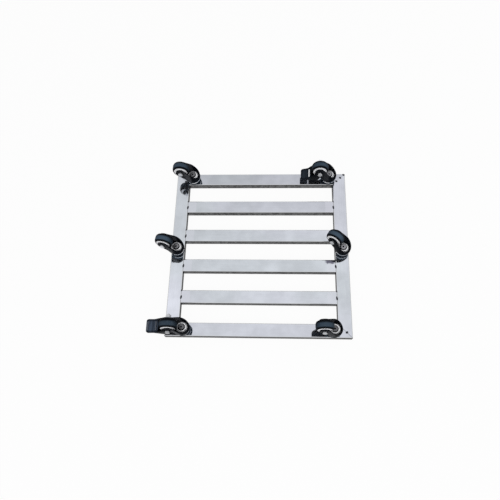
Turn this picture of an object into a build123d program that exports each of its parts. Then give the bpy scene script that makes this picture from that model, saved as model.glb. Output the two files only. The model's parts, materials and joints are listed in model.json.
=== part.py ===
from build123d import *

import os
from math import atan2, cos, degrees, radians, sin, sqrt

os.makedirs("parts", exist_ok=True)

# Square plant caddy: a welded stainless tube deck on six swivel casters, two of them with a brake.
# The origin is on the floor under the middle of the deck. Wheels stand on z = 0, and the deck faces +Z.

# Deck: four mitred rails round slats, all of one rectangular tube laid flat
frame_side = 400.0
tube_width = 30.0
tube_height = 15.0
tube_wall = 1.2
tube_corner = 2.0
tube_inner_corner = max(tube_corner - tube_wall, 0.3)
slat_count = 4

# Casters: places on the rails, and the turn of each fork about its swivel axis, in degrees
corner_inset = 40.0  # side of the frame to the swivel axis of a corner caster
trail = 23.3  # swivel axis to axle
front_left_turn = 1.5
front_right_turn = 2.0
middle_left_turn = 9.0
middle_right_turn = 32.0
rear_left_turn = -1.0
rear_right_turn = 0.5

# Wheel: rubber tyre on a moulded core, with a dust cap on each side
wheel_diameter = 38.0
wheel_width = 18.5
wheel_gap = 4.0  # rim of the fork's bell to the top of the tyre
tyre_thickness = 5.0
tread_round = 3.0
core_inset = 0.95  # tyre side to the foot of the core's bevelled ring
core_lip = 4.0  # width of the ring, which shows round a cap
core_bevel = 1.6  # rise of the ring towards the cap
cap_thickness = 1.6
cap_recess = 1.3  # top of the ring to a cap's face
hub_radius = 6.0
seat_clearance = 0.02

# Axle: a rivet, or on a brake a bolt with a nut
bolt_radius = 3.0
bolt_clearance = 0.08
bolt_head_radius = 5.0
bolt_head_height = 4.0
bolt_head_chamfer = 0.9
nut_across_flats = 10.0
axle_nut_height = 5.0
thread_clearance = 0.05
thread_end = 2.5  # bolt end beyond its nut
rivet_head_radius = 4.5
rivet_head_height = 1.5
rivet_edge = 0.7  # chamfer on the axle's far end

# Fork: bell-shaped crown with two legs, pressed from sheet
leg_sheet = 2.0
leg_play = 0.5  # wheel hub to leg
hub_proud = 0.65  # wheel side to the end of the hub
leg_boss_radius = 11.0
leg_root_rear = 11.0  # end of a leg's top edge under the crown, behind the swivel axis
leg_joggle = 17.0  # swivel axis to where a leg, bent in from the bell, runs straight
axle_boss_radius = 6.0
axle_boss_height = 0.5
crown_radius = 17.0
crown_sheet = 2.0
crown_seat_sheet = 2.8
crown_seat_radius = 12.2
crown_shoulder = 5.1  # drop of the conical shoulder, from the crown's top to the upright skirt
crown_bore = 5.2
skirt_length = 7.3  # crown's underside to the rim of the bell

# Swivel bearing: stem through two cups, with a ring of balls above and below the crown
stem_radius = 4.0
stem_clearance = 0.05
stem_head_radius = 6.8
stem_head_height = 1.8
stem_head_chamfer = 1.0
stem_dimple_radius = 1.9
stem_dimple_depth = 2.0
upper_cup_radius = 15.5
upper_cup_floor = 3.0
upper_cup_wall = 1.5
upper_cup_lip = 4.6
upper_cup_chamfer = 1.2
upper_ball = 4.0
upper_ball_circle = 10.8
upper_ball_count = 12
lower_ball = 3.2
lower_ball_circle = 8.6
lower_ball_count = 10
ball_clearance = 0.1
lower_cup_radius = 12.3
lower_cup_height = 5.5
lower_cup_chamfer = 2.4
lower_cup_recess_radius = 7.9
lower_cup_recess = 1.6

# Rivet nut that takes the stem in a rail's lower wall
nut_flange_radius = 7.5
nut_flange = 0.8
nut_body_radius = 5.5
nut_length = 9.5
nut_clearance = 0.1

# Brake: pedal on the axle bolt, and a leaf over the tyre
pedal_travel = 18.0  # degrees from locked up to released
pedal_sheet = 1.8
arm_sheet = 1.5
arm_play = 0.25
arm_eye_radius = 6.5
arm_shoulder = 10.0  # length of tab that an arm carries
tab_length = 25.0
tab_lift = 12.0  # height of a locked tab over the axle
tab_round = 5.0
hood_play = 3.0  # leaf to the inside of the pedal's hood
hood_end = 116.0  # degrees round the axle to the front edge of a locked pedal's hood
rib_count = 2
rib_radius = 2.2
rib_pitch = 17.0
rib_margin = 3.3
leaf_sheet = 0.8
leaf_play = 1.6  # leaf to fork leg
leaf_sweep = 62.0  # degrees that the leaf follows the tyre behind the top
leaf_root = 9.5

# Places that follow from the sizes above
rail_line = frame_side / 2 - tube_width / 2
corner_x = frame_side / 2 - corner_inset
slat_pitch = 2 * rail_line / (slat_count + 1)
slat_length = frame_side - 2 * tube_width
wheel_radius = wheel_diameter / 2
core_radius = wheel_radius - tyre_thickness
core_half = wheel_width / 2 - core_inset
core_top = core_half + core_bevel
cap_radius = core_radius - core_lip
cap_face = core_top - cap_recess
cap_seat = cap_face - cap_thickness
hub_half = wheel_width / 2 + hub_proud
leg_inner = hub_half + leg_play
leg_outer = leg_inner + leg_sheet
boss_face = leg_outer + axle_boss_height
arm_inner = boss_face + arm_play
arm_outer = arm_inner + arm_sheet

# Levels of the swivel bearing, measured down from the underside of the rails
upper_race = nut_flange + upper_cup_floor
crown_top = upper_race + upper_ball + ball_clearance
crown_wall = crown_top + crown_shoulder
crown_under = crown_top + crown_seat_sheet
crown_rim = crown_under + skirt_length
lower_race = crown_under + lower_ball + ball_clearance
lower_cup_bottom = lower_race + lower_cup_height
axle_drop = crown_rim + wheel_gap + wheel_radius
caster_height = axle_drop + wheel_radius

# Reach of the brake from the axle
leaf_radius = wheel_radius + wheel_gap
hood_radius = leaf_radius + hood_play
hood_outside = hood_radius + pedal_sheet
tab_inner = sqrt(hood_radius**2 - tab_lift**2)
tab_outer = tab_inner + tab_length

casters = {
    "front_left": (-corner_x, -rail_line, front_left_turn),
    "front_right": (corner_x, -rail_line, front_right_turn),
    "middle_left": (-rail_line, 0.0, middle_left_turn),
    "middle_right": (rail_line, 0.0, middle_right_turn),
    "rear_left": (-corner_x, rail_line, rear_left_turn),
    "rear_right": (corner_x, rail_line, rear_right_turn),
}
brakes = {"front_right": pedal_travel, "rear_left": 0.0}  # pedal's angle up from locked
rails = {
    "front_rail": (0, ("front_left", "front_right")),
    "right_rail": (90, ("middle_right",)),
    "rear_rail": (180, ("rear_left", "rear_right")),
    "left_rail": (270, ("middle_left",)),
}


def head_plane(name):
    """A caster's mounting face: z up its swivel axis, x ahead of its trailing wheel."""
    x, y, turn = casters[name]
    ahead = (cos(radians(turn)), sin(radians(turn)), 0)
    return Plane(origin=(x, y, caster_height), x_dir=ahead, z_dir=(0, 0, 1))


def side_plane(head):
    """The wheel's middle plane, with x ahead and y up from the mounting face."""
    return Plane(origin=head.origin, x_dir=head.x_dir, z_dir=-head.y_dir)


def axle_centre(head):
    return head.from_local_coords(Vector(-trail, 0, -axle_drop))


def axle_plane(head):
    """An upright plane along the axle, with x along it and y up."""
    return Plane(origin=axle_centre(head), x_dir=head.y_dir, z_dir=head.x_dir)


def swivel_axis(head):
    return Axis(head.origin, (0, 0, 1))


def axle_axis(head):
    return Axis(axle_centre(head), head.y_dir)


def draw_outline(*points):
    """A closed straight-sided face in the sketch that is open."""
    Polygon(*points, align=None)


def draw_tube():
    """The tube's section in the sketch that is open."""
    RectangleRounded(tube_width, tube_height, tube_corner)
    RectangleRounded(
        tube_width - 2 * tube_wall,
        tube_height - 2 * tube_wall,
        tube_inner_corner,
        mode=Mode.SUBTRACT,
    )


def save(piece, name):
    piece.part.label = name
    export_step(piece.part, f"parts/{name}.step")


def make_rail(name, turn, carried):
    """One side of the frame, mitred at both ends and drilled underneath for its rivet nuts."""
    along = Vector(1, 0, 0).rotate(Axis.Z, turn)
    outward = Vector(0, -1, 0).rotate(Axis.Z, turn)
    middle = outward * rail_line + Vector(0, 0, caster_height + tube_height / 2)
    with BuildPart() as rail:
        with BuildSketch(Plane(origin=middle, x_dir=outward, z_dir=along)):
            draw_tube()
        extrude(amount=frame_side / 2, both=True)
        for end in (along, -along):
            split(bisect_by=Plane(origin=(0, 0, 0), z_dir=end - outward), keep=Keep.BOTTOM)
        with BuildSketch(Plane.XY.offset(caster_height)):
            with Locations(*[casters[caster][:2] for caster in carried]):
                Circle(nut_body_radius + nut_clearance)
        extrude(amount=tube_height / 2, mode=Mode.SUBTRACT)
    save(rail, name)


def make_slat(number):
    """A cross tube butted between the side rails."""
    middle = (0, -rail_line + number * slat_pitch, caster_height + tube_height / 2)
    with BuildPart() as slat:
        with BuildSketch(Plane(origin=middle, x_dir=(0, 1, 0), z_dir=(1, 0, 0))):
            draw_tube()
        extrude(amount=slat_length / 2, both=True)
    save(slat, f"slat_{number}")


def make_rivet_nuts():
    bore = stem_radius + stem_clearance
    with BuildPart() as rivet_nuts:
        for head in heads.values():
            with BuildSketch(side_plane(head)):
                draw_outline(
                    (bore, -nut_flange),
                    (nut_flange_radius, -nut_flange),
                    (nut_flange_radius, 0),
                    (nut_body_radius, 0),
                    (nut_body_radius, nut_length),
                    (bore, nut_length),
                )
            revolve(axis=swivel_axis(head))
    save(rivet_nuts, "rivet_nuts")


def make_stem(name):
    """The caster's threaded stem, with a dimpled rivet head under the lower cup."""
    head = heads[name]
    seat = lower_cup_bottom - lower_cup_recess
    bottom = lower_cup_bottom + stem_head_height
    with BuildPart() as stem:
        with BuildSketch(side_plane(head)):
            draw_outline(
                (0, nut_length),
                (stem_radius, nut_length),
                (stem_radius, -seat),
                (stem_head_radius, -seat),
                (stem_head_radius, -bottom + stem_head_chamfer),
                (stem_head_radius - stem_head_chamfer, -bottom),
                (stem_dimple_radius, -bottom),
                (0, -bottom + stem_dimple_depth),
            )
        revolve(axis=swivel_axis(head))
    save(stem, f"{name}_stem")


def make_upper_cup(name):
    """The cup that caps the upper ball race, with a lip round the crown's seat."""
    head = heads[name]
    bore = stem_radius + stem_clearance
    lip_radius = upper_cup_radius - upper_cup_wall
    lip_bottom = upper_race + upper_cup_lip
    with BuildPart() as upper_cup:
        with BuildSketch(side_plane(head)):
            draw_outline(
                (bore, -nut_flange),
                (upper_cup_radius - upper_cup_chamfer, -nut_flange),
                (upper_cup_radius, -nut_flange - upper_cup_chamfer),
                (upper_cup_radius, -lip_bottom),
                (lip_radius, -lip_bottom),
                (lip_radius, -upper_race),
                (bore, -upper_race),
            )
        revolve(axis=swivel_axis(head))
    save(upper_cup, f"{name}_upper_cup")


def make_lower_cups():
    """The bright rings under the crowns, each dished round its stem's head."""
    bore = stem_radius + stem_clearance
    with BuildPart() as lower_cups:
        for head in heads.values():
            with BuildSketch(side_plane(head)):
                draw_outline(
                    (bore, -lower_race),
                    (lower_cup_radius - lower_cup_chamfer, -lower_race),
                    (lower_cup_radius, -lower_race - lower_cup_chamfer),
                    (lower_cup_radius, -lower_cup_bottom + lower_cup_chamfer),
                    (lower_cup_radius - lower_cup_chamfer, -lower_cup_bottom),
                    (lower_cup_recess_radius, -lower_cup_bottom),
                    (lower_cup_recess_radius, -lower_cup_bottom + lower_cup_recess),
                    (bore, -lower_cup_bottom + lower_cup_recess),
                )
            revolve(axis=swivel_axis(head))
    save(lower_cups, "lower_cups")


def make_balls(name, diameter, circle, count, level):
    """A ring of bearing balls in each caster, cut with flats, at one level under the rails."""
    with BuildPart() as ball:
        Box(diameter, diameter, diameter)
        chamfer(ball.edges(), length=diameter * (1 - sqrt(0.5)))
    with BuildPart() as balls:
        for head in heads.values():
            with Locations(head.offset(-level)):
                with PolarLocations(circle, count):
                    add(ball.part)
    save(balls, name)


def make_fork(name):
    """The pressed fork: a bell-shaped crown over the swivel bearing, and two legs back to the axle."""
    head = heads[name]
    side = side_plane(head)
    axle = (-trail, -axle_drop)
    hole = bolt_radius + bolt_clearance
    bell_inside = crown_radius - crown_sheet
    leg_end = trail + 2 * leg_boss_radius
    with BuildPart() as fork:
        for radius, half, mode in (
            (crown_radius, leg_outer, Mode.ADD),
            (bell_inside, leg_inner, Mode.SUBTRACT),
        ):
            with BuildSketch(head.offset(-crown_wall)):
                with BuildLine():
                    CenterArc((0, 0), radius, 0, 360)
                    Line((-leg_joggle, -half), (-leg_joggle, half))
                make_hull()
                with Locations((-(leg_joggle + leg_end) / 2, 0)):
                    Rectangle(leg_end - leg_joggle, 2 * half)
            extrude(amount=-caster_height, mode=mode)
        with BuildSketch(side):
            with BuildLine():
                Line((-leg_root_rear, -crown_wall), (crown_radius, -crown_wall))
                Line((crown_radius, -crown_wall), (crown_radius, -crown_rim))
                CenterArc(axle, leg_boss_radius, 0, 360)
            make_hull()
        extrude(amount=crown_radius, both=True, mode=Mode.INTERSECT)
        with BuildSketch(side.offset(leg_outer), side.offset(-leg_outer - axle_boss_height)):
            with Locations(axle):
                Circle(axle_boss_radius)
        extrude(amount=axle_boss_height)
        with BuildSketch(side):
            with Locations(axle):
                Circle(hole)
        extrude(amount=boss_face, both=True, mode=Mode.SUBTRACT)
        with BuildSketch(side):
            draw_outline(
                (crown_bore, -crown_top),
                (crown_seat_radius, -crown_top),
                (crown_radius, -crown_wall),
                (crown_radius, -crown_rim),
                (bell_inside, -crown_rim),
                (bell_inside, -crown_wall - crown_sheet / 2),
                (crown_seat_radius - crown_sheet / 2, -crown_under),
                (crown_bore, -crown_under),
            )
        revolve(axis=swivel_axis(head))
    save(fork, f"{name}_fork")


def make_axle(name):
    """The axle: a rivet through the legs, or a bolt and nut that also hold the arms of a pedal."""
    head = heads[name]
    grip = boss_face
    far_end = grip + rivet_head_height
    far_radius = rivet_head_radius
    if name in brakes:
        grip = arm_outer + arm_play
        far_end = grip + axle_nut_height + thread_end
        far_radius = bolt_radius
    with BuildPart() as axle:
        with BuildSketch(axle_plane(head)):
            draw_outline(
                (-far_end, 0),
                (-far_end, far_radius - rivet_edge),
                (-far_end + rivet_edge, far_radius),
                (-grip, far_radius),
                (-grip, bolt_radius),
                (grip, bolt_radius),
                (grip, bolt_head_radius),
                (grip + bolt_head_height - bolt_head_chamfer, bolt_head_radius),
                (grip + bolt_head_height, bolt_head_radius - bolt_head_chamfer),
                (grip + bolt_head_height, 0),
            )
        revolve(axis=axle_axis(head))
        if name in brakes:
            with BuildSketch(side_plane(head).offset(grip)):
                with Locations((-trail, -axle_drop)):
                    RegularPolygon(nut_across_flats / 2, 6, major_radius=False)
                    Circle(bolt_radius + thread_clearance, mode=Mode.SUBTRACT)
            extrude(amount=axle_nut_height)
    save(axle, f"{name}_axle")


def make_tyre(name):
    head = heads[name]
    middle_radius = wheel_radius - tyre_thickness / 2
    with BuildPart() as tyre:
        with BuildSketch(axle_plane(head)) as section:
            with Locations((0, middle_radius)):
                Rectangle(wheel_width, tyre_thickness)
            fillet(section.vertices().group_by(Axis.Y)[-1], radius=tread_round)
        revolve(axis=axle_axis(head))
    save(tyre, f"{name}_tyre")


def make_core(name):
    """The moulded wheel centre, with a bevelled ring round the dust cap on each side."""
    head = heads[name]
    bore = bolt_radius + bolt_clearance
    rim = core_radius - seat_clearance
    with BuildPart() as core:
        with BuildSketch(axle_plane(head)):
            draw_outline(
                (-core_half, rim),
                (-core_top, cap_radius),
                (-cap_seat, cap_radius),
                (-cap_seat, bore),
                (cap_seat, bore),
                (cap_seat, cap_radius),
                (core_top, cap_radius),
                (core_half, rim),
            )
        revolve(axis=axle_axis(head))
    save(core, f"{name}_core")


def make_caps(name):
    """The two dust caps, with hubs that run against the fork's legs."""
    head = heads[name]
    bore = bolt_radius + bolt_clearance
    rim = cap_radius - seat_clearance
    with BuildPart() as caps:
        for sign in (-1, 1):
            with BuildSketch(axle_plane(head)):
                draw_outline(
                    (sign * cap_seat, bore),
                    (sign * cap_seat, rim),
                    (sign * cap_face, rim),
                    (sign * cap_face, hub_radius),
                    (sign * hub_half, hub_radius - (hub_half - cap_face)),
                    (sign * hub_half, bore),
                )
            revolve(axis=axle_axis(head))
    save(caps, f"{name}_caps")


def make_pedal(name):
    """The foot pedal: a ribbed tab and a hood over the wheel, on two arms that turn on the axle bolt."""
    head = heads[name]
    lift = radians(brakes[name])
    ahead = head.x_dir * cos(lift) - head.z_dir * sin(lift)
    side = Plane(origin=axle_centre(head), x_dir=ahead, z_dir=-head.y_dir)
    tab_middle = side.from_local_coords(Vector(-(tab_inner + tab_outer) / 2, tab_lift, 0))
    tab_plane = Plane(origin=tab_middle, x_dir=side.x_dir, z_dir=side.y_dir)
    first_rib = tab_outer - rib_margin
    sweep = 180 - degrees(atan2(tab_lift, tab_inner)) - hood_end
    with BuildPart() as pedal:
        with BuildSketch(side.offset(arm_inner)):
            with BuildLine():
                Line((-tab_inner, tab_lift), (-tab_inner - arm_shoulder, tab_lift))
                CenterArc((0, 0), arm_eye_radius, 0, 360)
                CenterArc((0, 0), hood_outside, hood_end, sweep)
            make_hull()
            Circle(bolt_radius + bolt_clearance, mode=Mode.SUBTRACT)
        extrude(amount=arm_sheet)
        mirror(about=side)
        with BuildSketch(tab_plane):
            RectangleRounded(tab_length, 2 * arm_outer, tab_round)
            with Locations((tab_length / 4, 0)):
                Rectangle(tab_length / 2, 2 * arm_outer)
        extrude(amount=pedal_sheet / 2, both=True)
        with BuildSketch(side):
            with BuildLine():
                outside = CenterArc((0, 0), hood_outside, hood_end, sweep)
                inside = CenterArc((0, 0), hood_radius, hood_end, sweep)
                Line(outside @ 0, inside @ 0)
                Line(outside @ 1, inside @ 1)
            make_face()
        extrude(amount=arm_outer, both=True)
        with BuildSketch(side):
            with Locations(*[(-first_rib + rib * rib_pitch, tab_lift) for rib in range(rib_count)]):
                Circle(rib_radius)
        extrude(amount=arm_outer - tab_round, both=True)
    save(pedal, f"{name}_pedal")


def make_leaf(name):
    """The brake leaf: a spring strip from the crown's rim back over the tyre."""
    head = heads[name]
    side = Plane(origin=axle_centre(head), x_dir=head.x_dir, z_dir=-head.y_dir)
    inner = leaf_radius - leaf_sheet
    last = 90 + leaf_sweep
    with BuildPart() as leaf:
        with BuildSketch(side):
            with BuildLine():
                CenterArc((0, 0), leaf_radius, 90, leaf_sweep)
                CenterArc((0, 0), inner, 90, leaf_sweep)
                Line((0, inner), (leaf_root, inner))
                Line((leaf_root, inner), (leaf_root, leaf_radius))
                Line((leaf_root, leaf_radius), (0, leaf_radius))
                Line(
                    (inner * cos(radians(last)), inner * sin(radians(last))),
                    (leaf_radius * cos(radians(last)), leaf_radius * sin(radians(last))),
                )
            make_face()
        extrude(amount=leg_inner - leaf_play, both=True)
    save(leaf, f"{name}_brake_leaf")


heads = {name: head_plane(name) for name in casters}
for rail_name, (rail_turn, rail_casters) in rails.items():
    make_rail(rail_name, rail_turn, rail_casters)
for slat_number in range(1, slat_count + 1):
    make_slat(slat_number)
make_rivet_nuts()
make_lower_cups()
make_balls("upper_balls", upper_ball, upper_ball_circle, upper_ball_count, upper_race + upper_ball / 2)
make_balls("lower_balls", lower_ball, lower_ball_circle, lower_ball_count, lower_race - lower_ball / 2)
for caster_name in casters:
    make_stem(caster_name)
    make_upper_cup(caster_name)
    make_fork(caster_name)
    make_axle(caster_name)
    make_tyre(caster_name)
    make_core(caster_name)
    make_caps(caster_name)
for caster_name in brakes:
    make_pedal(caster_name)
    make_leaf(caster_name)
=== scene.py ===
"""Dresses the square plant caddy: polished deck, tack welds, casters, brakes, stage and camera."""

import json
from collections import namedtuple
from math import radians

import bpy
from bpy.props import FloatProperty, FloatVectorProperty, PointerProperty
from mathutils import Matrix, Vector

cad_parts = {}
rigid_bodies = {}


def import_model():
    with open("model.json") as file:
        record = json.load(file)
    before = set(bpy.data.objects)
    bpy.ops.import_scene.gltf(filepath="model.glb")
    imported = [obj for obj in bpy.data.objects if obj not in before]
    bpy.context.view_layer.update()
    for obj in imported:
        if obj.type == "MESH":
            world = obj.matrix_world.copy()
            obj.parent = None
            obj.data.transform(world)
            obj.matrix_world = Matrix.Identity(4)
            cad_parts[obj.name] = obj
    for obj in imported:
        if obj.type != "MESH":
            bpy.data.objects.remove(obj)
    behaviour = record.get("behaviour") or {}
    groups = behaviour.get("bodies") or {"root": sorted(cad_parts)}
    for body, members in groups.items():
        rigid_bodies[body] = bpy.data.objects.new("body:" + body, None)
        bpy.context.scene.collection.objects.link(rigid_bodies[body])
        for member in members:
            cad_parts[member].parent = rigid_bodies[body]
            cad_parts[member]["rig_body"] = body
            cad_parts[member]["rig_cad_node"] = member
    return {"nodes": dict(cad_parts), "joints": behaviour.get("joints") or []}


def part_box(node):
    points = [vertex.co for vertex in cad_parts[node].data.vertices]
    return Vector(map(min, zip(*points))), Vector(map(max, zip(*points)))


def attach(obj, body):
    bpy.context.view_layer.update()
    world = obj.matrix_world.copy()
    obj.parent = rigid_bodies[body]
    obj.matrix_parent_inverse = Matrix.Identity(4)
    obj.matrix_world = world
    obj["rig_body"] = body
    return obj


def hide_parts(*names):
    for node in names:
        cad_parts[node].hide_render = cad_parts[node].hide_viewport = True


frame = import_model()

bl_info = {
    "name": "Plant caddy",
    "version": (1, 0, 0),
    "blender": (4, 5, 0),
    "location": "View3D > Sidebar > Caddy",
    "description": "Materials, welds, casters and stage for a square plant caddy",
    "category": "Object",
}

UP = (0, 0, 1)
ORIGIN = (0, 0, 0)
NODES = frame["nodes"]
ROLLS = {joint["name"].removesuffix("_roll"): joint
         for joint in frame["joints"] if joint["name"].endswith("_roll")}
AXLES = {caster: Vector(joint["axis"]) for caster, joint in ROLLS.items()}
AXLE_PLACES = {caster: Vector(joint["pos_m"]) for caster, joint in ROLLS.items()}
AHEAD = {caster: axle.cross(UP) for caster, axle in AXLES.items()}
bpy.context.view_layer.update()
SLATS = tuple(sorted(name for name in NODES if name.startswith("slat_")))
DECK_LOW, DECK_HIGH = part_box("front_rail")

# How the casters differ: dust and painted sheen on the legs, and, as painted light, how pale the
# tread, stem, bolt and far nut are painted on each
Look = namedtuple("Look", "leg_dust tread stem bolt far_nut")
LOOKS = {
    "front_left": Look(0.5, 1.35, 0.9, 1.4, 1.0),
    "front_right": Look(0.2, 1.2, 1.3, 1.0, 1.0),
    "middle_left": Look(0.45, 1.75, 1.2, 1.45, 1.0),
    "middle_right": Look(0.05, 1.75, 1.6, 1.15, 1.0),
    "rear_left": Look(0.6, 1.0, 0.8, 0.75, 0.6),
    "rear_right": Look(0.4, 1.25, 0.6, 1.0, 1.0),
}

# How a tube's grain is drawn out, the painted shade of its walls' dark and pale spots, and the
# painted shading of its faces, their colour set darker or paler at the front, the middle and the
# rear of the deck
Tube = namedtuple("Tube", "grain wall tones")
ALONG_X, WALL_X = (0.02, 1.0, 1.0), (0.56, 1.75)
ALONG_Y, WALL_Y = (1.0, 0.02, 1.0), (0.3, 0.75)
RAILS = {
    "front_rail": Tube(ALONG_X, WALL_X, (0.77, 0.98, 0.97)),
    "rear_rail": Tube(ALONG_X, WALL_X, (0.77, 0.98, 0.97)),
    "left_rail": Tube(ALONG_Y, WALL_Y, (0.92, 1.03, 1.23)),
    "right_rail": Tube(ALONG_Y, WALL_Y, (0.88, 0.97, 1.02)),
}
SLAT = Tube(ALONG_X, WALL_X, (0.77, 1.015, 0.975))

# Where a finish changes, in metres: it begins at the first distance and is complete at the second
SEAM = (0.0008, 0.0003)            # off a mitre
SLAT_END = (0.1495, 0.1515)        # from the middle of the deck
GREASE_SHADE_RIM = (0.0004, 0.0007)      # above the bottom of a lower cup
GREASE_SHADE_TOP = (0.0022, 0.0019)
LEG_END = (0.024, 0.019)           # ahead of the axle
LEG_FADE = (0.002, 0.013)
TAB_START = (-0.0235, -0.0245)     # a pedal's tab, behind the axle
TAB_BORDER = (0.0125, 0.0080)      # off the middle of a tab
RIB_HEIGHT = (0.0010, 0.0013)      # off the middle plane of a tab
RIB_WIDTH = (0.0022, 0.0016)       # off the middle of a rib
RIB_END = (0.0106, 0.0098)         # off the middle of a tab
EYE_EDGE = (0.0072, 0.0066)        # from the axle's line
EYE_SIDE = (-0.0125, -0.0135)      # along the axle
TREAD_NEAR = (0.0046, 0.0068)      # along the axle
TREAD_FAR = (-0.0006, -0.0056)
CAP_RIM = (0.0084, 0.0087)         # from the axle's line
FAR_NUT = (-0.0135, -0.0145)       # along the axle
FLANGE_BLUR = 0.0001
LIP_BLUR = 0.0002
HEAT_RAGGED = 0.006                # how far noise shifts an edge
TREAD_RAGGED = 0.0020

# The scorch mark at one slat's end: its middle, off the slat's corner, its fall per metre, and
# how ragged it is, as a share of its size
SCORCH_INSET = (0.011, 0.001)
SCORCH_FALL = (75.0, 95.0)
SCORCH_RAGGED = (1.4, 1.6)

# Tack welds: half sizes, turns, places on a slat's end, and steps along each mitre from outside
CORNER_TACK, LONG_TACK, MITRE_TACK = (0.0014, 0.0022), (0.0021, 0.0048), (0.0032, 0.0024)
CORNER_TURN, LONG_TURN, MITRE_TURN = 0.2, 0.15, 0.785
CORNER_INSET = 0.0008
LONG_SHARES = (0.45, 0.55)
MITRES = {(-1, -1): (0.68,), (1, -1): (0.1, 0.37, 0.68), (-1, 1): (0.45,), (1, 1): (0.4,)}

TYRE_SIDES = 160
BORE_LENGTH = 0.1
PEDAL_TRAVEL = 18                  # degrees from locked up to released

FLOOR_SIDE = 8.0
FLOOR_DROP = 0.0003
STAGE_WHITE = 0.95
SKY_LIGHT = 0.38
LAMP_AIM = (0, 0, 0.05)
LAMPS = {  # place, size and power
    "key_below": ((-0.3, 1.7, -1.6), 3.6, 33),
    "fill_below": ((1.7, -0.5, -1.3), 1.8, 8),
    "key_above": ((-0.7, -1.2, 1.9), 3.6, 33),
    "fill_above": ((1.5, 0.8, 1.4), 1.8, 8),
}


def colour(label, words, value):
    return FloatVectorProperty(
        name=label, description=words, default=value, subtype="COLOR", size=3, min=0, max=1)


def length(label, words, value):
    return FloatProperty(name=label, description=words, default=value, unit="LENGTH", min=0)


class CaddyFinishes(bpy.types.PropertyGroup):
    steel: colour("Tube", "Polished stainless face of the tubes", (0.595, 0.630, 0.675))
    steel_drift: colour("Tube tint", "Lavender that the faces drift to", (0.605, 0.624, 0.690))
    # Painted shade: the tubes' side walls are given this dark colour, and a darker line where they
    # turn into the faces
    steel_wall_shade: colour("Tube wall", "Duller side walls of the tubes", (0.094, 0.094, 0.095))
    # Painted highlight: the tubes' rounded edges are given this paler colour
    steel_edge_highlight: colour("Tube edge", "Bright rounded edges of the tubes", (0.66, 0.665, 0.675))
    slat_end: colour("Slat end", "Heat tint at the slats' ends", (0.76, 0.75, 0.84))
    scorch: colour("Scorch", "Dark heat mark at one slat's end", (0.11, 0.108, 0.15))
    weld: colour("Weld", "Dark oxide on the tack welds", (0.012, 0.013, 0.018))
    weld_pale: colour("Weld spots", "Paler spots in the welds' oxide", (0.09, 0.09, 0.105))
    zinc: colour("Zinc", "Bright zinc plate on the bearing cups", (0.85, 0.86, 0.89))
    pin: colour("Stem", "Dull plating on the heads of the stems", (0.20, 0.20, 0.215))
    # Painted shade in the stems' dimples and on the edges of their heads
    dimple_shade: colour("Dimple", "Dark dimples and edges of the stems", (0.012, 0.012, 0.013))
    bolt: colour("Axle", "Plating on the axles and their nuts", (0.44, 0.45, 0.47))
    # Grease, and painted shade: this near-black colour darkens the bearing balls, the rivet nuts
    # and the lower cups' hollows
    grease_and_shade: colour("Grease", "Greased balls and nuts in the bearings", (0.006, 0.007, 0.009))
    paint: colour("Paint", "Black paint on forks and pedals", (0.0050, 0.0062, 0.0090))
    # Dust and painted sheen: the paler grain on the forks' legs
    dust: colour("Dust", "Dusty grain on the forks' legs", (0.13, 0.133, 0.145))
    # A paler tint given to every surface of a fork that faces up
    top_tint: colour("Settled dust", "Dust on the tops of the forks", (0.068, 0.102, 0.136))
    # Painted light: the released and locked pedals' tabs are one part, given a darker and a paler
    # colour
    tab_up: colour("Released tab", "Tab of the released pedal", (0.026, 0.034, 0.045))
    tab_down: colour("Locked tab", "Tab of the locked pedal", (0.058, 0.076, 0.108))
    # Painted highlight: the released pedal's inner rib is made bright bare metal
    rib_highlight: colour("Rubbed rib", "Bare rib of the released pedal", (0.80, 0.81, 0.82))
    # Painted sheen: the locked pedal's ribs are made paler and metallic
    rib_sheen: colour("Scuffed rib", "Ribs of the locked pedal", (0.088, 0.099, 0.120))
    eye: colour("Pedal eye", "Bare eye of the locked pedal's far arm", (0.34, 0.36, 0.39))
    cup: colour("Upper cup", "Blue-black coat on the upper cups", (0.011, 0.020, 0.031))
    rubber: colour("Rubber", "Tyre tread", (0.041, 0.062, 0.088))
    rubber_dust: colour("Rubber dust", "Pale dust on the treads", (0.090, 0.115, 0.140))
    # The tyres' dark sides; also the painted shade on the tread where it turns away from facing
    # down
    rubber_side_and_shade: colour("Rubber side", "Sides of the tyre", (0.006, 0.007, 0.009))
    core: colour("Wheel core", "White moulded plastic", (0.95, 0.955, 0.98))
    cap: colour("Dust cap", "Black moulded plastic", (0.006, 0.006, 0.0075))
    floor: colour("Floor", "Pale stage surface", (0.9, 0.9, 0.9))


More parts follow.
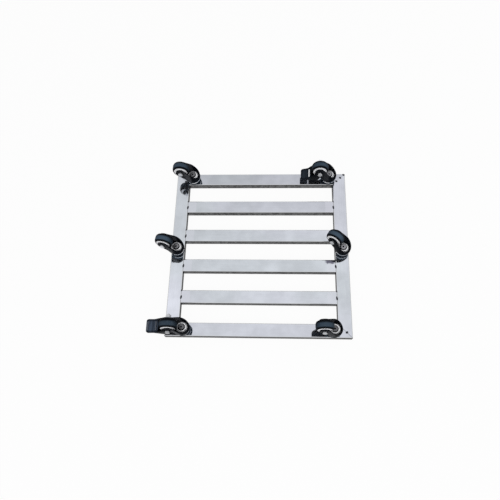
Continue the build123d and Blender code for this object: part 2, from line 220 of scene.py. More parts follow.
class CaddySizes(bpy.types.PropertyGroup):
    edge: length("Pressed edge", "Round along the edges of the forks and pedals", 0.0005)
    tack: length("Tack weld", "Height of one tack weld over the tube", 0.0007)
    lip: length("Bright lip", "Depth of the bare lip of an upper cup", 0.0014)
    tab_lift: length("Tab lift", "Height of a locked pedal's tab over its axle", 0.012)
    inner_rib: length("Inner rib", "Distance of a pedal's inner rib behind the axle", 0.0277)
    outer_rib: length("Outer rib", "Distance of a pedal's outer rib behind the axle", 0.0447)
    tyre_width: length("Tyre width", "Width of a tyre", 0.0185)
    tyre_seat: length("Tyre seat", "Gap between a tyre and its core", 0.00002)
    shoulder: length("Shoulder", "Depth of a tyre's shoulder, along the radius", 0.0043)
    shoulder_run: length("Shoulder run", "Width of a tyre's shoulder, along the axle", 0.0068)
    flange: length("Core flange", "How far the white core laps the side of its tyre", 0.0011)
    bench_gap: length("Bench gap", "Deck to the surface it lies on, upside down", 0.0004)
    camera_place: FloatVectorProperty(
        name="Camera", description="Where the camera stands, under the wheels",
        default=(0.02647, 0.39213, -0.78948), subtype="TRANSLATION", unit="LENGTH")
    camera_turn: FloatVectorProperty(
        name="Camera turn", description="The camera's rotation",
        default=(radians(-162.856), radians(-2.1535), radians(-1.2364)),
        subtype="EULER", unit="ROTATION")
    camera_shift: FloatVectorProperty(
        name="Camera shift", description="How far the picture is shifted, in widths",
        default=(-0.0062, 0.1112), size=2)
    camera_lens: FloatProperty(
        name="Lens", description="Focal length on a 36 mm sensor", default=29.56, unit="CAMERA")


def hues():
    return bpy.context.scene.caddy_finishes


def sizes():
    return bpy.context.scene.caddy_sizes


def shaded(hue, shade):
    """A colour made paler or darker."""
    return [shade * part for part in hue]


def round_radius(node):
    """The outer radius of a CAD node that is round about a level axle."""
    low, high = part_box(node)
    return (high.z - low.z) / 2


class Wire:
    """A shader socket that takes part in arithmetic: each operator adds a Math node."""

    def __init__(self, finish, socket):
        self.finish = finish
        self.socket = socket

    def math(self, operation, *values):
        return self.finish.node("Math", {"operation": operation}, dict(enumerate(values)))

    def __add__(self, other):
        return self.math("ADD", self, other)

    def __sub__(self, other):
        return self.math("SUBTRACT", self, other)

    def __rsub__(self, other):
        return self.math("SUBTRACT", other, self)

    def __mul__(self, other):
        return self.math("MULTIPLY", self, other)

    def __abs__(self):
        return self.math("ABSOLUTE", self)

    def root(self):
        return self.math("SQRT", self)

    def most(self, other):
        """The larger of two values."""
        return self.math("MAXIMUM", self, other)


class Finish:
    """A node tree under construction, with its Principled shader when it is a material."""

    def __init__(self, owner):
        owner.use_nodes = True
        self.owner = owner
        self.tree = owner.node_tree
        self.shader = self.tree.nodes.get("Principled BSDF")

    def node(self, kind, settings=None, values=None, output=0):
        """Adds a node, sets its settings, then gives its sockets values or links."""
        made = self.tree.nodes.new("ShaderNode" + kind)
        for key, value in (settings or {}).items():
            setattr(made, key, value)
        for key, value in (values or {}).items():
            self.put(made.inputs[key], value)
        return Wire(self, made.outputs[output])

    def put(self, socket, value):
        """Links a socket to a wire, or sets it to a number or a colour."""
        if isinstance(value, Wire):
            self.tree.links.new(value.socket, socket)
        elif socket.type == "RGBA":
            socket.default_value = (*value, 1)
        else:
            socket.default_value = value

    def set(self, **values):
        """Sets or links the Principled shader's sockets, named with underscores for spaces."""
        for key, value in values.items():
            self.put(self.shader.inputs[key.replace("_", " ")], value)

    def place(self):
        return self.node("TexCoord", output="Object")

    def part(self, vector, index):
        """One part of a vector: 0 for x, 1 for y and 2 for z."""
        return self.node("SeparateXYZ", None, {0: vector}, index)

    def scaled(self, place, scale):
        return self.node("Mapping", None, {"Vector": place, "Scale": scale})

    def noise(self, place, scale, detail, roughness=0.55):
        values = {"Vector": place, "Scale": scale, "Detail": detail, "Roughness": roughness}
        return self.node("TexNoise", None, values, "Fac")

    def normal(self):
        return self.node("TexCoord", output="Normal")

    def dot(self, first, second):
        values = {0: first, 1: second}
        return self.node("VectorMath", {"operation": "DOT_PRODUCT"}, values, "Value")

    def facing(self, direction):
        """How squarely a surface faces along a direction of its object, either way: 0 to 1."""
        return abs(self.dot(self.normal(), direction))

    def upward(self):
        """How far a surface faces up: 1 up, -1 down."""
        return self.part(self.normal(), 2)

    def off(self, centre, direction):
        """Distance from a point, measured along a direction."""
        values = {0: self.place(), 1: centre}
        return self.dot(self.node("VectorMath", {"operation": "SUBTRACT"}, values), direction)

    def off_axle(self, caster):
        """Distance from the line of a caster's axle."""
        ahead = self.off(AXLE_PLACES[caster], AHEAD[caster])
        above = self.off(AXLE_PLACES[caster], UP)
        return (ahead * ahead + above * above).root()

    def span(self, value, low, high, to_low=0.0, to_high=1.0, smooth=True):
        """Maps a range of values onto another, clamped at its ends."""
        settings = {"interpolation_type": "SMOOTHSTEP" if smooth else "LINEAR"}
        ends = {"From Min": low, "From Max": high, "To Min": to_low, "To Max": to_high}
        return self.node("MapRange", settings, {"Value": value, **ends})

    def blend(self, factor, first, second):
        """Mixes two colours, which are sockets 6 and 7 of the node, into its output 2."""
        values = {0: factor, 6: first, 7: second}
        return self.node("Mix", {"data_type": "RGBA"}, values, 2)

    def bump(self, height, strength, distance):
        values = {"Height": height, "Strength": strength, "Distance": distance}
        return self.node("Bump", None, values)


def new_finish(name):
    return Finish(bpy.data.materials.new(name))


def with_seam(finish, skin, sideways, across, smudge):
    """Draws the thin dark line of the mitres, stronger towards the rear."""
    seam = finish.span(abs(abs(across) - abs(sideways)), *SEAM)
    seam = seam * finish.span(smudge, 0.3, 0.6, 0.35, 1.0)
    return finish.blend(seam * finish.span(across, -0.1, 0.1, 0.25, 0.8), skin, hues().weld)


def with_heat(finish, skin, sideways, across, smudge, speck):
    """Tints the slats' ends, and scorches one of them on the underside."""
    reach = abs(sideways) + (smudge - 0.5) * HEAT_RAGGED
    skin = finish.blend(finish.span(reach, *SLAT_END) * 0.2, skin, hues().slat_end)
    low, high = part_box("slat_3")
    aside = (sideways - (high.x - SCORCH_INSET[0])) * SCORCH_FALL[0]
    aside = aside + (smudge - 0.5) * SCORCH_RAGGED[0]
    inward = (across - (low.y + SCORCH_INSET[1])) * SCORCH_FALL[1]
    inward = inward + (speck - 0.5) * SCORCH_RAGGED[1]
    scorch = finish.span(aside * aside + inward * inward, 1.0, 0.35)
    scorch = scorch * finish.span(finish.upward(), 0.0, -0.5)
    return finish.blend(scorch * 0.95, skin, hues().scorch)


def tube_finish(name, tube, mitred):
    """Polished stainless tube: smudged, grained faces with painted shading, edges with a painted
    highlight, and mottled walls darkened as painted shade.
    """
    finish = new_finish(name)
    place = finish.place()
    sideways, across = finish.part(place, 0), finish.part(place, 1)
    level = finish.facing(UP)
    smudge = finish.noise(place, scale=26.0, detail=6.0, roughness=0.62)
    cloud = finish.noise(place, scale=7.0, detail=3.0, roughness=0.55)
    drift = finish.noise(place, scale=4.0, detail=2.0, roughness=0.5)
    speck = finish.noise(place, scale=140.0, detail=4.0, roughness=0.65)
    drawn = finish.scaled(place, tube.grain)
    lines = finish.noise(drawn, scale=700.0, detail=4.0, roughness=0.65)
    streak = finish.noise(drawn, scale=1100.0, detail=5.0, roughness=0.7)

    # Painted shading: the faces' colour is set darker or paler across the deck and per tube, as
    # the light falls; smudges, clouds and brushed lines vary it too
    front, middle, rear = tube.tones
    tone = finish.span(across, -DECK_HIGH.x, 0.0, front, middle, smooth=False)
    tone = tone * finish.span(across, 0.0, DECK_HIGH.x, 1.0, rear / middle, smooth=False)
    tone = tone * (finish.span(smudge, 0.32, 0.68, 0.93, 1.05) + (lines - 0.5) * 0.22)
    tone = tone * finish.span(cloud, 0.35, 0.65, 0.95, 1.05)
    tint = finish.blend(finish.span(drift, 0.4, 0.6), hues().steel, hues().steel_drift)
    face = finish.node("VectorMath", {"operation": "SCALE"}, {0: tint, "Scale": tone})
    # Painted highlight: a paler colour along the rounded edges
    edge = finish.span(level, 0.70, 0.82) * finish.span(level, 0.985, 0.93)
    skin = finish.blend(edge, face, hues().steel_edge_highlight)
    if mitred:
        skin = with_seam(finish, skin, sideways, across, smudge)
    else:
        skin = with_heat(finish, skin, sideways, across, smudge, speck)

    # Painted shade: the side walls get a dark mottled colour, darker on the rails along y and
    # darker still where they turn into the faces; they are rougher too
    mottle = finish.span(speck * 0.6 + streak * 0.4, 0.38, 0.62)
    dark, pale = (shaded(hues().steel_wall_shade, shade) for shade in tube.wall)
    wall = finish.blend(mottle, dark, pale)
    dull_and_shaded = finish.span(level, 0.80, 0.62)
    corner = dull_and_shaded * finish.span(level, 0.12, 0.35)
    wall = finish.blend(corner * 0.75, wall, shaded(hues().steel_wall_shade, 0.3))

    gloss = finish.span(smudge, 0.3, 0.75, 0.045, 0.10)
    finish.set(
        Base_Color=finish.blend(dull_and_shaded, skin, wall),
        Metallic=0.972,
        Roughness=gloss + dull_and_shaded * 0.25 + (lines - 0.5) * 0.03,
        Normal=finish.bump(lines, strength=0.03, distance=0.0002),
        Specular_Tint=(0.6, 0.6, 0.6),
    )
    return finish.owner


def plated_finish(name, hue, gloss):
    """Zinc plate with a faint spangle. Returns the finish and its colour."""
    finish = new_finish(name)
    place = finish.place()
    spangle = finish.noise(place, scale=420.0, detail=3.0, roughness=0.6)
    plate = finish.blend(finish.span(spangle, 0.3, 0.7), shaded(hue, 0.92), shaded(hue, 1.04))
    grit = finish.noise(place, scale=900.0, detail=2.0)
    finish.set(
        Base_Color=plate,
        Metallic=1.0,
        Roughness=finish.span(spangle, 0.25, 0.75, gloss - 0.05, gloss + 0.09),
        Normal=finish.bump(grit, strength=0.04, distance=0.0001),
    )
    return finish, plate


def ring_finish(name):
    """A bright lower cup whose dished middle, round the stem's head, is dark with greasing and
    painted shade.
    """
    finish, plate = plated_finish(name, hues().zinc, gloss=0.24)
    height = finish.part(finish.place(), 2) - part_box("lower_cups")[0].z
    level = finish.facing(UP)
    # Grease and painted shade in the dished hollow of the cup
    square = finish.span(level, 0.9, 0.96).most(finish.span(level, 0.12, 0.06))
    grease_and_shade = square * finish.span(height, *GREASE_SHADE_RIM) * finish.span(height, *GREASE_SHADE_TOP)
    finish.set(
        Base_Color=finish.blend(grease_and_shade, plate, hues().grease_and_shade),
        Metallic=0.45 - grease_and_shade * 0.45,
    )
    return finish.owner


def stem_finish(name, shade):
    """A grey riveted head, with painted shade in the hollow at its middle and on its edge."""
    # Painted light: each caster's stem is plated paler or darker
    finish, plate = plated_finish(name, shaded(hues().pin, shade), gloss=0.30)
    # Painted shade: the sides of the head and of its dimple are darkened
    turned = finish.span(finish.facing(UP), 0.95, 0.86)
    finish.set(Base_Color=finish.blend(turned, plate, hues().dimple_shade))
    return finish.owner


def bolt_finish(name, caster, look):
    """A plated axle bolt with a brighter nut on its far end, both paler or darker per caster as
    painted light.
    """
    finish, plate = plated_finish(name, shaded(hues().bolt, look.bolt), gloss=0.28)
    far_end = finish.span(finish.off(AXLE_PLACES[caster], AXLES[caster]), *FAR_NUT)
    nut = shaded(hues().zinc, look.far_nut)
    finish.set(Base_Color=finish.blend(far_end, plate, nut))
    return finish.owner


def painted_finish(name, caster, dusty, top_tint=0.0):
    """Black paint on pressed steel, with a dusty grain and painted sheen on a fork's legs, and a
    paler tint on its top.

    Returns the finish and its colour.
    """
    finish = new_finish(name)
    place = finish.place()
    grain = finish.noise(place, scale=620.0, detail=5.0, roughness=0.7)
    dust = finish.noise(place, scale=120.0, detail=5.0, roughness=0.65)
    peel = finish.noise(place, scale=420.0, detail=2.0, roughness=0.4)
    flank = finish.span(finish.facing(AXLES[caster]), 0.82, 0.95)
    ahead = finish.off(AXLE_PLACES[caster], AHEAD[caster])
    # Dust and painted sheen on the flanks of the legs, set per caster and stronger further ahead
    # of the axle
    leg = finish.span(ahead, *LEG_END) * finish.span(ahead, *LEG_FADE, 0.35, 1.25)
    dust_and_sheen = (flank * leg * dusty + 0.02) * finish.span(grain, 0.30, 0.62, 0.4, 1.0)
    dust_and_sheen = dust_and_sheen * finish.span(dust, 0.3, 0.6, 0.5, 1.0)
    coat = finish.blend(dust_and_sheen, hues().paint, hues().dust)
    # A paler tint on the surfaces that face up
    top = finish.span(finish.upward(), 0.2, 0.7) * top_tint
    coat = finish.blend(top, coat, hues().top_tint)
    finish.set(
        Base_Color=coat,
        Roughness=finish.span(dust, 0.3, 0.7, 0.22, 0.40),
        Normal=finish.bump(peel, strength=0.10, distance=0.0002),
        Specular_IOR_Level=0.004,
    )
    return finish, coat


def pedal_finish(name, caster, lift, bare_eye, plate, ribs):
    """Black paint with a tab streaked with painted sheen, ribs given a painted highlight and,
    where bare_eye is 1, a bare far eye.

    The lift is how far the pedal stands above its locked place, in degrees, and each rib has its
    distance behind the axle and its colour.
    """
    finish, coat = painted_finish(name, caster, dusty=0.1)
    left = AXLES[caster]
    ahead = Matrix.Rotation(radians(lift), 3, left) @ AHEAD[caster]
    along = finish.off(AXLE_PLACES[caster], ahead)
    above = finish.off(AXLE_PLACES[caster], ahead.cross(left))
    aside = finish.off(AXLE_PLACES[caster], left)
    drawn = finish.scaled(finish.place(), (1.0, 0.05, 1.0))
    # Painted sheen: the tab's colour is streaked paler and darker along its ribs
    streak = finish.noise(drawn, scale=420.0, detail=2.0, roughness=0.5)
    tint = finish.blend(finish.span(streak, 0.35, 0.65), shaded(plate, 0.55), shaded(plate, 1.45))
    # Painted shade: the tab's colour fades to the black paint towards its sides
    tab = finish.span(along, *TAB_START) * finish.span(abs(aside), *TAB_BORDER, 0.3, 1.0)
    coat = finish.blend(tab, coat, tint)
    bare = finish.span(finish.off_axle(caster), *EYE_EDGE)
    bare = bare * finish.span(aside, *EYE_SIDE) * bare_eye
    coat = finish.blend(bare, coat, hues().eye)
    # Painted highlight and sheen: each rib's crest takes its colour and is made metallic
    proud = finish.span(abs(above - sizes().tab_lift), *RIB_HEIGHT)
    between = finish.span(abs(aside), *RIB_END)
    for back, hue in ribs:
        crest = proud * finish.span(abs(along + back), *RIB_WIDTH) * between
        coat = finish.blend(crest, coat, hue)
        bare = bare + crest
    finish.set(Base_Color=coat, Metallic=bare * 0.9)
    return finish.owner


def rubber_finish(name, caster, shade):
    """Finely grained rubber with a bluish, dusty tread, and dark sides lapped by the white core.

    Painted shade: the tread is palest where it faces down and darkens as it turns away from there.
    """
    finish = new_finish(name)
    place = finish.place()
    grain = finish.noise(place, scale=1300.0, detail=3.0, roughness=0.6)
    dust = finish.noise(place, scale=150.0, detail=6.0, roughness=0.7)
    dusty = finish.span(dust, 0.42, 0.75, 0.0, 0.5)
    # Painted light: each caster's tread is made paler or darker
    tread = finish.blend(dusty, shaded(hues().rubber, shade), hues().rubber_dust)
    # Painted shade: the tread darkens towards the sides' colour as it turns away from facing down
    under = finish.span(finish.upward(), -0.25, -0.95, 0.25, 1.0)
    tread = finish.blend(under, hues().rubber_side_and_shade, tread)
    aside = finish.off(AXLE_PLACES[caster], AXLES[caster]) + (dust - 0.5) * TREAD_RAGGED
    side = finish.span(aside, *TREAD_NEAR).most(finish.span(aside, *TREAD_FAR))
    flange = round_radius(caster + "_core") + sizes().flange
    ring = finish.span(finish.off_axle(caster), flange + FLANGE_BLUR, flange - FLANGE_BLUR)
    skin = finish.blend(side, tread, hues().rubber_side_and_shade)
    finish.set(
        Base_Color=finish.blend(ring, skin, hues().core),
        Roughness=finish.span(dust, 0.3, 0.75, 0.40, 0.58),
        Normal=finish.bump(grain, strength=0.2, distance=0.0002),
        Specular_IOR_Level=0.012,
    )
    return finish.owner


def moulded_finish(name, hue, gloss, shine):
    """Injection-moulded plastic with faint flow marks. Returns the finish and its colour."""
    finish = new_finish(name)
    place = finish.place()
    flow = finish.noise(place, scale=130.0, detail=3.0, roughness=0.5)
    plastic = finish.blend(finish.span(flow, 0.35, 0.7), hue, shaded(hue, 0.94))
    grit = finish.noise(place, scale=1100.0, detail=2.0)
    finish.set(
        Base_Color=plastic,
        Roughness=finish.span(flow, 0.3, 0.7, gloss, gloss + 0.08),
        Normal=finish.bump(grit, strength=0.05, distance=0.0001),
        Specular_IOR_Level=shine,
    )
    return finish, plastic


def cap_finish(name, caster):
    """A black dust cap with a white rim that widens the wheel's ring."""
    finish, plastic = moulded_finish(name, hues().cap, gloss=0.35, shine=0.03)
    rim = finish.span(finish.off_axle(caster), *CAP_RIM)
    finish.set(Base_Color=finish.blend(rim, plastic, hues().core))
    return finish.owner


def lipped_finish(name, level):
    """A blue-black cup whose lip, below a height, is bare bright metal."""
    finish = new_finish(name)
    place = finish.place()
    bare = finish.span(finish.part(place, 2), level + LIP_BLUR, level - LIP_BLUR)
    scuff = finish.noise(place, scale=500.0, detail=4.0, roughness=0.6)
    finish.set(
        Base_Color=finish.blend(bare, hues().cup, hues().zinc),
        Metallic=bare,
        Roughness=finish.span(scuff, 0.3, 0.7, 0.2, 0.34),
        Specular_IOR_Level=0.004,
    )
    return finish.owner


def weld_finish(name):
    """Rough weld metal with dark oxide and paler spots."""
    finish = new_finish(name)
    crust = finish.noise(finish.place(), scale=900.0, detail=5.0, roughness=0.7)
    finish.set(
        Base_Color=finish.blend(finish.span(crust, 0.42, 0.7), hues().weld, hues().weld_pale),
        Metallic=0.6,
        Roughness=finish.span(crust, 0.3, 0.7, 0.35, 0.6),
        Normal=finish.bump(crust, strength=0.5, distance=0.0004),
    )
    return finish.owner


def wear(piece, material):
    """Gives a piece one material."""
    piece.data.materials.clear()
    piece.data.materials.append(material)


def only(piece):
    """Selects one object and makes it active."""
    bpy.ops.object.select_all(action="DESELECT")
    piece.select_set(True)
    bpy.context.view_layer.objects.active = piece


def smooth(piece, angle):
    """Smooths a piece's shading, except over edges sharper than an angle in degrees."""
    only(piece)
    bpy.ops.object.shade_smooth_by_angle(angle=radians(angle))


def edit_all():
    """Opens the active object's mesh, with all of it selected."""
    bpy.ops.object.mode_set(mode="EDIT")
    bpy.ops.mesh.select_all(action="SELECT")


def end_edit():
    bpy.ops.object.mode_set(mode="OBJECT")


def use_modifier(piece, kind, **settings):
    """Adds a modifier to a piece and applies it."""
    only(piece)
    modifier = piece.modifiers.new(kind.lower(), kind)
    for key, value in settings.items():
        setattr(modifier, key, value)
    bpy.ops.object.modifier_apply(modifier=modifier.name)


def bevel(piece, width, segments, angle):
    """Rounds the edges of a piece that are sharper than an angle in degrees."""
    use_modifier(piece, "BEVEL", width=width, segments=segments,
                 limit_method="ANGLE", angle_limit=radians(angle), harden_normals=False)


def pressed_copy(node, material):
    """A copy of a CAD node with its sharp edges rounded, standing in the node's place."""
    only(NODES[node])
    bpy.ops.object.duplicate()
    piece = bpy.context.view_layer.objects.active
    body = piece["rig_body"]
    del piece["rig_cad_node"]
    piece.name = node + "_pressed"
    edit_all()
    bpy.ops.mesh.remove_doubles(threshold=1e-6)
    bpy.ops.mesh.dissolve_limited(angle_limit=radians(0.6))
    end_edit()
    bevel(piece, sizes().edge, segments=2, angle=38)
    smooth(piece, angle=32)
    wear(piece, material)
    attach(piece, body)
    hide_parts(node)


class CADDY_OT_tubes(bpy.types.Operator):
    """Finishes the rails and slats as polished stainless tube"""
    bl_idname = "caddy.tubes"
    bl_label = "Tube deck"

    def execute(self, context):
        for name, tube in RAILS.items():
            wear(NODES[name], tube_finish("stainless_" + name, tube, mitred=True))
        slat = tube_finish("stainless_slat", SLAT, mitred=False)
        for name in SLATS:
            wear(NODES[name], slat)
        return {"FINISHED"}


def add_tack(place, half, turn):
    """One tack weld: a flattened bead on the deck's underside, its lumps seeded by its place."""
    bpy.ops.object.select_all(action="DESELECT")
    bpy.ops.mesh.primitive_ico_sphere_add(subdivisions=3, radius=1.0)
    bead = bpy.context.object
    seed = int(abs(place[0] * 7e3 + place[1] * 3e3)) + 1
    edit_all()
    bpy.ops.transform.vertex_random(offset=0.16, uniform=0.4, normal=0.6, seed=seed)
    bpy.ops.mesh.vertices_smooth(factor=0.5, repeat=2)
    bpy.ops.transform.resize(value=(*half, sizes().tack), center_override=ORIGIN)
    bpy.ops.transform.rotate(value=turn, orient_axis="Z", center_override=ORIGIN)
    bpy.ops.transform.translate(value=place)
    end_edit()
    return bead


def weld_places():
    """The place, half sizes and turn of each tack weld.

    Two sit on each slat's end, and up to three along each mitre.
    """
    width = DECK_HIGH.y - DECK_LOW.y
    side = DECK_HIGH.x - width
    places = []
    for name in SLATS:
        low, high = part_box(name)
        corner = low.y + CORNER_INSET
        middle = low.y * LONG_SHARES[0] + high.y * LONG_SHARES[1]
        for end in (-1, 1):
            places.append(((end * side, corner, DECK_LOW.z), CORNER_TACK, CORNER_TURN))
            places.append(((end * side, middle, DECK_LOW.z), LONG_TACK, end * LONG_TURN))
    for (x, y), steps in MITRES.items():
        for step in steps:
            inset = DECK_HIGH.x - step * width
            place = (x * inset, y * inset, DECK_LOW.z)
            places.append((place, MITRE_TACK, x * y * MITRE_TURN))
    return places


class CADDY_OT_welds(bpy.types.Operator):
    """Adds the tack welds at the slats' ends and along the mitres"""
    bl_idname = "caddy.welds"
    bl_label = "Tack welds"

    def execute(self, context):
        beads = [add_tack(place, half, turn) for place, half, turn in weld_places()]
        bpy.ops.object.select_all(action="DESELECT")
        for bead in beads:
            bead.select_set(True)
        context.view_layer.objects.active = beads[0]
        bpy.ops.object.join()
        welds = context.view_layer.objects.active
        welds.name = "tack_welds"
        smooth(welds, angle=60)
        wear(welds, weld_finish("weld_oxide"))
        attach(welds, "frame")
        return {"FINISHED"}


class CADDY_OT_forks(bpy.types.Operator):
    """Makes the pressed and painted forks"""
    bl_idname = "caddy.forks"
    bl_label = "Forks"

    def execute(self, context):
        for caster, look in LOOKS.items():
            name = f"black_paint_{caster}_fork"
            paint = painted_finish(name, caster, look.leg_dust, top_tint=1.0)[0]
            pressed_copy(caster + "_fork", paint.owner)
        return {"FINISHED"}


def add_drum(radius, width):
    """A solid drum round the z axis at the origin, made the active object."""
    bpy.ops.object.select_all(action="DESELECT")
    bpy.ops.mesh.primitive_cylinder_add(vertices=TYRE_SIDES, radius=radius, depth=width)
    return bpy.context.object


def add_tyre(caster, material):
    """A tyre with full round shoulders on its core, in place of the plainer one.

    Its shoulders are rounded on a narrower drum, which is then stretched along the axle.
    """
    node = caster + "_tyre"
    stretch = sizes().shoulder_run / sizes().shoulder
    bore = add_drum(round_radius(caster + "_core") + sizes().tyre_seat, BORE_LENGTH)
    tyre = add_drum(round_radius(node), sizes().tyre_width / stretch)
    tyre.name = node + "_round"
    bevel(tyre, sizes().shoulder, segments=7, angle=60)
    edit_all()
    bpy.ops.transform.resize(value=(1, 1, stretch), center_override=ORIGIN)
    end_edit()
    use_modifier(tyre, "BOOLEAN", operation="DIFFERENCE", object=bore, solver="EXACT")
    bpy.data.objects.remove(bore)
    only(tyre)
    edit_all()
    bpy.ops.transform.rotate(value=radians(90), orient_axis="X", center_override=ORIGIN)
    swing = Vector((0, 1)).angle_signed(AXLES[caster].to_2d())
    bpy.ops.transform.rotate(value=swing, orient_axis="Z", center_override=ORIGIN)
    bpy.ops.transform.translate(value=AXLE_PLACES[caster])
    end_edit()
    smooth(tyre, angle=40)
    wear(tyre, material)
    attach(tyre, caster + "_wheel")
    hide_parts(node)


class CADDY_OT_wheels(bpy.types.Operator):
    """Makes the tyres and finishes cores and dust caps"""
    bl_idname = "caddy.wheels"
    bl_label = "Wheels"

    def execute(self, context):
        core = moulded_finish("white_wheel_core", hues().core, gloss=0.3, shine=0.5)[0]
        for caster, look in LOOKS.items():
            add_tyre(caster, rubber_finish(f"tyre_rubber_{caster}", caster, look.tread))
            wear(NODES[caster + "_core"], core.owner)
            wear(NODES[caster + "_caps"], cap_finish(f"black_dust_cap_{caster}", caster))
        return {"FINISHED"}


class CADDY_OT_bearings(bpy.types.Operator):
    """Finishes the swivel bearings, stems, axle bolts and rivet nuts"""
    bl_idname = "caddy.bearings"
    bl_label = "Bearings and bolts"

    def execute(self, context):
        wear(NODES["lower_cups"], ring_finish("bright_lower_cup"))
        # Grease and painted shade: the balls and rivet nuts inside the bearings are made near
        # black
        greased_and_shaded = plated_finish("greased_and_shaded_steel", hues().grease_and_shade, gloss=0.3)[0]
        for name in ("rivet_nuts", "upper_balls", "lower_balls"):
            wear(NODES[name], greased_and_shaded.owner)
        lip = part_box("front_left_upper_cup")[0].z + sizes().lip
        cup = lipped_finish("black_cup_with_bright_lip", lip)
        for caster, look in LOOKS.items():
            wear(NODES[caster + "_upper_cup"], cup)
            wear(NODES[caster + "_stem"], stem_finish(f"riveted_stem_{caster}", look.stem))
            wear(NODES[caster + "_axle"], bolt_finish(f"plated_axle_{caster}", caster, look))
        return {"FINISHED"}


class CADDY_OT_brakes(bpy.types.Operator):
    """Makes the brake pedals and finishes the leaves"""
    bl_idname = "caddy.brakes"
    bl_label = "Brakes"

    def execute(self, context):
        # Painted highlight on the released pedal's rib, painted sheen on the locked pedal's ribs
        highlighted_rib = [(sizes().inner_rib, hues().rib_highlight)]
        sheened_ribs = [(back, hues().rib_sheen) for back in (sizes().inner_rib, sizes().outer_rib)]
        for caster, lift, bare_eye, plate, ribs in (
                ("front_right", PEDAL_TRAVEL, 0.0, hues().tab_up, highlighted_rib),
                ("rear_left", 0, 1.0, hues().tab_down, sheened_ribs)):
            name = f"black_paint_{caster}_pedal"
            paint = pedal_finish(name, caster, lift, bare_eye, plate, ribs)
            pressed_copy(caster + "_pedal", paint)
            leaf = painted_finish(f"black_paint_{caster}_leaf", caster, dusty=0.1)[0]
            wear(NODES[caster + "_brake_leaf"], leaf.owner)
        return {"FINISHED"}


def seen_rays(finish):
    """1 for rays from the camera, a mirror or glass, and 0 for light that spreads."""
    path = finish.tree.nodes.new("ShaderNodeLightPath")
    kinds = ("Camera", "Glossy", "Transmission")
    eye, mirror, glass = (Wire(finish, path.outputs[f"Is {kind} Ray"]) for kind in kinds)
    return eye.most(mirror).most(glass)


def stage_finish(name):
    """A surface that the camera sees near white, with a soft shadow.

    It is clear from behind and to the light.
    """
    finish = new_finish(name)
    tree = finish.tree
    tree.nodes.remove(finish.shader)
    matt = finish.node("BsdfDiffuse", None, {"Color": hues().floor})
    white = finish.node("Emission", None, {"Color": (1, 1, 1), "Strength": 1.0})
    clear = finish.node("BsdfTransparent")
    back = finish.node("NewGeometry", output="Backfacing")
    eye = finish.node("LightPath", output="Is Camera Ray")
    lit = finish.node("MixShader", None, {0: STAGE_WHITE, 1: matt, 2: white})
    whole = finish.node("MixShader", None, {0: eye * (1.0 - back), 1: clear, 2: lit})
    tree.links.new(whole.socket, tree.nodes["Material Output"].inputs["Surface"])
    return finish.owner


def add_floor(name, height, turned, material):
    """A wide stage surface at a height, facing down when turned."""
    bpy.ops.object.select_all(action="DESELECT")
    bpy.ops.mesh.primitive_plane_add(size=FLOOR_SIDE, location=(0, 0, height))
    floor = bpy.context.object
    floor.name = name
    bpy.ops.object.transform_apply(location=True, rotation=True, scale=True)
    if turned:
        edit_all()
        bpy.ops.mesh.flip_normals()
        end_edit()
    wear(floor, material)


def add_lamp(name, place, size, power):
    """A round lamp that lights the caddy and isn't mirrored in it."""
    bpy.ops.object.select_all(action="DESELECT")
    turn = (Vector(LAMP_AIM) - Vector(place)).to_track_quat("-Z", "Y").to_euler()
    bpy.ops.object.light_add(type="AREA", location=place, rotation=turn)
    lamp = bpy.context.object
    lamp.name = name
    lamp.data.shape = "DISK"
    lamp.data.size = size
    lamp.data.energy = power
    lamp.visible_glossy = False


def light_sky(world):
    """Shows the surroundings white and lights the caddy with less."""
    sky = Finish(world)
    sky.tree.nodes.clear()
    strength = seen_rays(sky) * (1 - SKY_LIGHT) + SKY_LIGHT
    light = sky.node("Background", None, {"Color": (1, 1, 1), "Strength": strength})
    out = sky.tree.nodes.new("ShaderNodeOutputWorld")
    sky.tree.links.new(light.socket, out.inputs["Surface"])


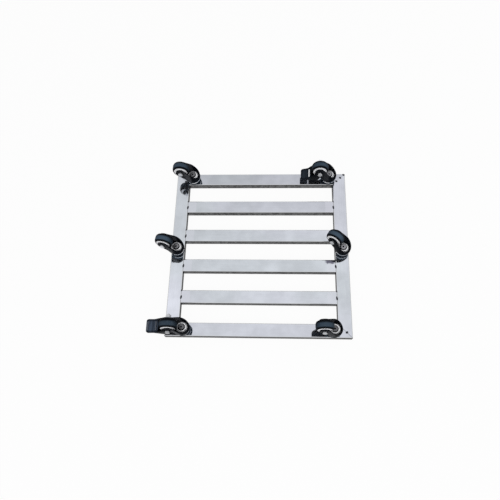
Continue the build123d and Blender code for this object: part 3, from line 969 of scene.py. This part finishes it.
class CADDY_OT_stage(bpy.types.Operator):
    """Sets the floor, the bench that the caddy lies on upside down, the light and the camera"""
    bl_idname = "caddy.stage"
    bl_label = "Stage"

    def execute(self, context):
        scene = context.scene
        scene.view_settings.view_transform = "Standard"
        pale = stage_finish("pale_stage")
        add_floor("floor", -FLOOR_DROP, False, pale)
        add_floor("bench", DECK_HIGH.z + sizes().bench_gap, True, pale)
        scene.world = scene.world or bpy.data.worlds.new("studio")
        light_sky(scene.world)
        for name, (place, size, power) in LAMPS.items():
            add_lamp(name, place, size, power)
        bpy.ops.object.select_all(action="DESELECT")
        bpy.ops.object.camera_add(location=sizes().camera_place, rotation=sizes().camera_turn)
        camera = context.object
        camera.data.lens = sizes().camera_lens
        camera.data.sensor_width = 36
        camera.data.shift_x, camera.data.shift_y = sizes().camera_shift
        camera.data.clip_start = 0.01
        scene.camera = camera
        return {"FINISHED"}


OPERATORS = (CADDY_OT_tubes, CADDY_OT_welds, CADDY_OT_forks, CADDY_OT_wheels,
             CADDY_OT_bearings, CADDY_OT_brakes, CADDY_OT_stage)


class CADDY_PT_panel(bpy.types.Panel):
    """Lists the caddy's pieces and stage"""
    bl_idname = "CADDY_PT_panel"
    bl_label = "Plant caddy"
    bl_space_type = "VIEW_3D"
    bl_region_type = "UI"
    bl_category = "Caddy"

    def draw(self, context):
        for operator in OPERATORS:
            self.layout.operator(operator.bl_idname)
        for group in (context.scene.caddy_finishes, context.scene.caddy_sizes):
            for key in group.bl_rna.properties.keys():
                if key not in ("rna_type", "name"):
                    self.layout.prop(group, key)


CLASSES = (CaddyFinishes, CaddySizes) + OPERATORS + (CADDY_PT_panel,)


def register():
    for cls in CLASSES:
        bpy.utils.register_class(cls)
    bpy.types.Scene.caddy_finishes = PointerProperty(type=CaddyFinishes)
    bpy.types.Scene.caddy_sizes = PointerProperty(type=CaddySizes)


def unregister():
    del bpy.types.Scene.caddy_sizes
    del bpy.types.Scene.caddy_finishes
    for cls in reversed(CLASSES):
        bpy.utils.unregister_class(cls)


def main():
    register()
    bpy.ops.caddy.tubes()
    bpy.ops.caddy.welds()
    bpy.ops.caddy.forks()
    bpy.ops.caddy.wheels()
    bpy.ops.caddy.bearings()
    bpy.ops.caddy.brakes()
    bpy.ops.caddy.stage()


if __name__ == "__main__":
    main()
